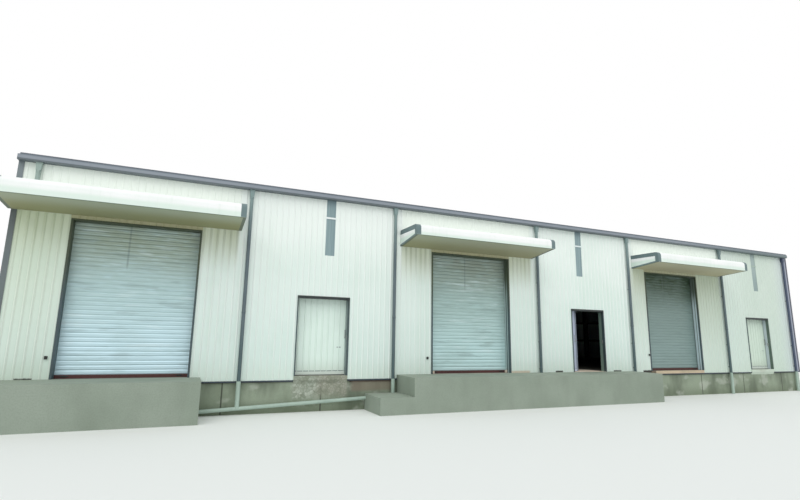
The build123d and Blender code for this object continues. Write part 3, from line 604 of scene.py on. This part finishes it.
class Piece:
    """One mesh in the making, from slabs, rods and screws set where they belong."""

    def __init__(self):
        self.mesh = bmesh.new()

    def slab(self, low, high, edge=0.0):
        """Block between two opposite corners, its edges rounded.

        A rounded one is made in a mesh of its own and then joined: what follows a bevel in the
        same mesh comes out in another order on each run."""
        place = Matrix.Translation((low + high) / 2) @ Matrix.Diagonal((*(high - low), 1))
        if not edge:
            bmesh.ops.create_cube(self.mesh, size=1.0, matrix=place)
            return
        block = bmesh.new()
        bmesh.ops.create_cube(block, size=1.0, matrix=place)
        bmesh.ops.bevel(block, geom=block.edges[:], offset=edge, affect="EDGES", segments=2,
                        profile=0.5, material=-1)
        data = bpy.data.meshes.new("block")
        block.to_mesh(data)
        block.free()
        self.mesh.from_mesh(data)
        bpy.data.meshes.remove(data)

    def rod(self, foot, axis, length, radius, sides):
        """Round bar from foot along axis."""
        turn = Vector((0, 0, 1)).rotation_difference(Vector(axis)).to_matrix().to_4x4()
        place = Matrix.Translation(foot + Vector(axis).normalized() * length / 2) @ turn
        bmesh.ops.create_cone(self.mesh, cap_ends=True, segments=sides, radius1=radius,
                              radius2=radius, depth=length, matrix=place)

    def screw(self, foot, axis):
        """Washer and hexagon head, standing on foot."""
        self.rod(foot, axis, 0.002, 0.009, sides=8)
        self.rod(foot + Vector(axis) * 0.002, axis, 0.004, 0.005, sides=6)

    def mirror_to_back(self):
        """Add the same again on the back wall."""
        middle = WALL_ORIGIN.y + DEPTH / 2
        everything = self.mesh.verts[:] + self.mesh.edges[:] + self.mesh.faces[:]
        copied = bmesh.ops.duplicate(self.mesh, geom=everything)["geom"]
        corners = [v for v in copied if isinstance(v, bmesh.types.BMVert)]
        turn = Matrix.Translation((0, 2 * middle, 0)) @ Matrix.Diagonal((1, -1, 1, 1))
        bmesh.ops.transform(self.mesh, matrix=turn, verts=corners)
        faces = [f for f in copied if isinstance(f, bmesh.types.BMFace)]
        bmesh.ops.reverse_faces(self.mesh, faces=faces)

    def fit(self, name, body, finish, smooth=False):
        """Turn the mesh into an object of the scene that moves with its body."""
        data = bpy.data.meshes.new(name)
        self.mesh.to_mesh(data)
        self.mesh.free()
        for face in data.polygons:
            face.use_smooth = smooth
        data.materials.append(finish)
        made = bpy.data.objects.new(name, data)
        bpy.context.scene.collection.objects.link(made)
        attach(made, body)
        return made


def wall_screws():
    """Screws in the pans at each girt, clear of the openings."""
    piece = Piece()
    openings = [(x, SHUTTER_WIDTH / 2, SHUTTER_HEIGHT) for x in SHUTTERS]
    openings += [(x, DOOR_WIDTH / 2, DOOR_HEIGHT) for x in DOORS]
    for number in range(1, int(LENGTH / PITCH)):
        along = (number + 0.5) * PITCH
        for level in GIRT_LEVELS:
            opened = any(abs(along - x) < half + 0.02 and level < height + 0.02
                         for x, half, height in openings)
            lit = any(abs(along - x) < 0.16 and level > LIGHT_FOOT for x in LIGHTS)
            if not opened and not lit:
                piece.screw(spot(along, 0, level), (0, -1, 0))
            if number % 2 == 0:
                piece.screw(spot(along, DEPTH, level), (0, 1, 0))
    piece.fit("wall_screws", "building", WALL)


def gable_screws():
    """Screws in the pans of both gables, at the same levels."""
    piece = Piece()
    for number in range(1, int(DEPTH / HIDDEN_PITCH)):
        inward = (number + 0.5) * HIDDEN_PITCH
        for level in GIRT_LEVELS:
            piece.screw(spot(0, inward, level), (-1, 0, 0))
            piece.screw(spot(LENGTH, inward, level), (1, 0, 0))
    piece.fit("gable_screws", "building", GABLE)


def drip_edges():
    """Folded strip under the sheets' lower edge, dark as painted shadow, between the docks and
    round the back and ends.
    """
    piece = Piece()
    half = DOOR_WIDTH / 2
    for left, right in ((DOCKS[0][1], DOORS[0] - half), (DOORS[0] + half, STEP_END),
                        (DOCKS[1][1], DOORS[2] - half), (DOORS[2] + half, LENGTH)):
        piece.slab(spot(left, -RIB - 0.006, -0.034), spot(right, 0.03, -0.001), 0.002)
    piece.slab(spot(0, DEPTH - 0.03, -0.034), spot(LENGTH, DEPTH + RIB + 0.006, -0.001), 0.002)
    for left, right in ((-RIB - 0.005, 0.03), (LENGTH - 0.03, LENGTH + RIB + 0.005)):
        piece.slab(spot(left, 0.03, -0.034), spot(right, DEPTH - 0.03, -0.001), 0.002)
    piece.fit("drip_edges", "building", DRIP_AND_SHADE)


def sill_fillets():
    """Mortar under the end doors' sills, sloping back to the plinth."""
    piece = Piece()
    for middle in (DOORS[0], DOORS[2]):
        piece.slab(spot(middle - DOOR_WIDTH / 2, -RIB + 0.0005, -0.09),
                   spot(middle + DOOR_WIDTH / 2, 0.0295, -0.0005))
        for vertex in piece.mesh.verts[-8:]:
            if vertex.co.z < WALL_ORIGIN.z - 0.05 and vertex.co.y < WALL_ORIGIN.y:
                vertex.co.y = WALL_ORIGIN.y + 0.028
    piece.fit("sill_fillets", "building", SILL)


def light_bands():
    """Flat bar over each wall light, level with the girt behind it, and a strip down each edge."""
    for side, along, finish in zip(SIDES, LIGHTS, STRIP_BANDS):
        piece = Piece()
        piece.slab(spot(along - 0.155, -RIB - 0.0045, 4.25),
                   spot(along + 0.155, -RIB - 0.0005, 4.3), 0.001)
        for edge in (-0.131, 0.129):
            piece.slab(spot(along + edge, -0.001, LIGHT_FOOT),
                       spot(along + edge + 0.002, 0.0, EAVES))
        piece.fit(side + "_light_band", "building", finish)


def pipe_collars():
    """Sockets where the downpipe lengths join; the short first pipe has only the upper one."""
    piece = Piece()
    for number, along in enumerate(PIPES):
        for up in COLLAR_LEVELS:
            if number or up == COLLAR_LEVELS[0]:
                piece.rod(spot(along, PIPE_Y, up), (0, 0, 1), 0.05, PIPE_RADIUS + 0.0035, sides=28)
    piece.fit("pipe_collars", "building", PIPE, True)


def gutter_straps():
    """Flat straps across the gutters, front and back."""
    piece = Piece()
    for number in range(STRAPS):
        along = 0.2 + number * STRAP_STEP
        piece.slab(spot(along, -RIB - 0.148, EAVES + 0.106),
                   spot(along + 0.025, -RIB - 0.096, EAVES + 0.109))
    piece.mirror_to_back()
    piece.fit("gutter_straps", "building", GUTTER)


def shutter_locks():
    """Slide bolts on the bottom rails, and the small box beside each shutter."""
    piece = Piece()
    for middle, (box, up) in zip(SHUTTERS, SHUTTER_BOXES):
        for side in (-1, 1):
            x = middle + side * (SHUTTER_WIDTH / 2 - 0.22)
            piece.slab(spot(x - 0.05, 0.2, 0.125), spot(x + 0.05, 0.212, 0.158), 0.003)
            piece.rod(spot(x - 0.09 * side, 0.206, 0.141), (side, 0, 0), 0.18, 0.007, sides=10)
        piece.slab(spot(box - 0.03, -RIB - 0.025, up - 0.035),
                   spot(box + 0.03, -RIB, up + 0.035), 0.005)
        piece.rod(spot(box, -RIB - 0.038, up), (0, 1, 0), 0.014, 0.013, sides=14)
    piece.fit("shutter_locks", "building", DARK)


def rail_stops():
    """Pale stops on the sill, in front of both ends of the middle shutter's bottom rail."""
    piece = Piece()
    for x in (SHUTTERS[1] - SHUTTER_WIDTH / 2 + 0.15, SHUTTERS[1] + SHUTTER_WIDTH / 2 - 0.07):
        piece.slab(spot(x - 0.035, 0.14, FLOOR + 0.0005), spot(x + 0.035, 0.19, RAIL_TOP), 0.004)
    piece.fit("rail_stops", "building", STOP)


def door_details(number, name, body):
    """Bottom rail and stiles of a sliding leaf, with the line over its rail and its hasp."""
    low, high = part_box(name + "_door_leaf")
    rails = Piece()
    face = low.y - 0.0004
    back = low.y + 0.0098
    for x0, x1, z0, z1 in ((low.x, high.x, low.z, low.z + 0.085),
                           (low.x, low.x + LEAF_OVERLAP, low.z + 0.086, high.z),
                           (high.x - LEAF_OVERLAP, high.x, low.z + 0.086, high.z)):
        rails.slab(Vector((x0, face, z0)), Vector((x1, back, z1)), 0.0008)
    rails.fit(name + "_door_edges", body, LEAF_EDGE[number])
    line = Piece()
    line.slab(Vector((low.x + LEAF_OVERLAP, face + 0.001, low.z + 0.0855)),
              Vector((high.x - LEAF_OVERLAP, back, low.z + 0.1)))
    line.slab(Vector((high.x - 0.3, face + 0.002, low.z + 0.7)),
              Vector((high.x - 0.19, back, low.z + 0.715)), 0.001)
    line.fit(name + "_door_lines", body, PIPE)


def door_keepers():
    """Catch on the right jamb of each doorway."""
    piece = Piece()
    for middle in DOORS:
        x = middle + DOOR_WIDTH / 2 - 0.03
        piece.slab(spot(x - 0.012, 0.06, 1.02), spot(x, 0.11, 1.14), 0.002)
    piece.fit("door_keepers", "building", ZINC)


wall_screws()
gable_screws()
drip_edges()
sill_fillets()
light_bands()
pipe_collars()
gutter_straps()
shutter_locks()
rail_stops()
for number, side in enumerate(SIDES):
    door_details(number, side, side + "_door")
door_keepers()


def photographer():
    """Camera low in front of the left half, turned to the right and slightly up."""
    yaw, pitch, roll = (math.radians(angle) for angle in (23.01, 10.46, 0.92))
    ahead = Vector((math.sin(yaw) * math.cos(pitch), math.cos(yaw) * math.cos(pitch),
                    math.sin(pitch)))
    level = Vector((math.cos(yaw), -math.sin(yaw), 0))
    upright = level.cross(ahead)
    right = math.cos(roll) * level + math.sin(roll) * upright
    top = math.cos(roll) * upright - math.sin(roll) * level
    data = bpy.data.cameras.new("camera")
    data.sensor_width = 36
    data.lens = 21.77
    data.clip_end = 400
    camera = bpy.data.objects.new("camera", data)
    turn = Matrix((right, top, -ahead)).transposed().to_4x4()
    eye = spot(3.755, -12.595, 1.051)
    camera.matrix_world = Matrix.Translation(eye) @ turn
    bpy.context.scene.collection.objects.link(camera)
    bpy.context.scene.camera = camera


def seen_directly(tree):
    """1 for rays from the camera, off a gloss or through glass."""
    path = tree.nodes.new("ShaderNodeLightPath")
    total = None
    for name in ("Is Camera Ray", "Is Glossy Ray", "Is Transmission Ray"):
        if total is None:
            total = path.outputs[name]
            continue
        add = tree.nodes.new("ShaderNodeMath")
        add.operation = "ADD"
        add.use_clamp = True
        tree.links.new(total, add.inputs[0])
        tree.links.new(path.outputs[name], add.inputs[1])
        total = add.outputs[0]
    return total


def studio():
    """Pale floor, white surround and soft light from above and in front."""
    mesh = bmesh.new()
    bmesh.ops.create_grid(mesh, x_segments=1, y_segments=1, size=150)
    data = bpy.data.meshes.new("floor")
    mesh.to_mesh(data)
    mesh.free()
    floor = bpy.data.objects.new("floor", data)
    bpy.context.scene.collection.objects.link(floor)
    pale = Finish("pale_floor")
    data.materials.append(pale.lay(Base_Color=(0.86, 0.88, 0.86, 1), Roughness=0.9))

    world = bpy.data.worlds.new("surround")
    world.use_nodes = True
    bpy.context.scene.world = world
    tree = world.node_tree
    ambient = tree.nodes["Background"]
    ambient.inputs["Color"].default_value = (0.95, 0.98, 1.0, 1)
    ambient.inputs["Strength"].default_value = 0.72
    white = tree.nodes.new("ShaderNodeBackground")
    white.inputs["Color"].default_value = (1, 1, 1, 1)
    white.inputs["Strength"].default_value = 1.0
    blend = tree.nodes.new("ShaderNodeMixShader")
    tree.links.new(seen_directly(tree), blend.inputs[0])
    tree.links.new(ambient.outputs[0], blend.inputs[1])
    tree.links.new(white.outputs[0], blend.inputs[2])
    tree.links.new(blend.outputs[0], tree.nodes["World Output"].inputs[0])

    sky = bpy.data.lights.new("soft_sky", "SUN")
    sky.energy = 1.1
    sky.angle = math.radians(60)
    sky.color = (1.0, 0.99, 0.96)
    lamp = bpy.data.objects.new("soft_sky", sky)
    lamp.rotation_euler = Vector((-0.35, -0.75, 1.0)).to_track_quat("Z", "Y").to_euler()
    bpy.context.scene.collection.objects.link(lamp)


photographer()
studio()
bpy.context.scene.view_settings.view_transform = "Standard"
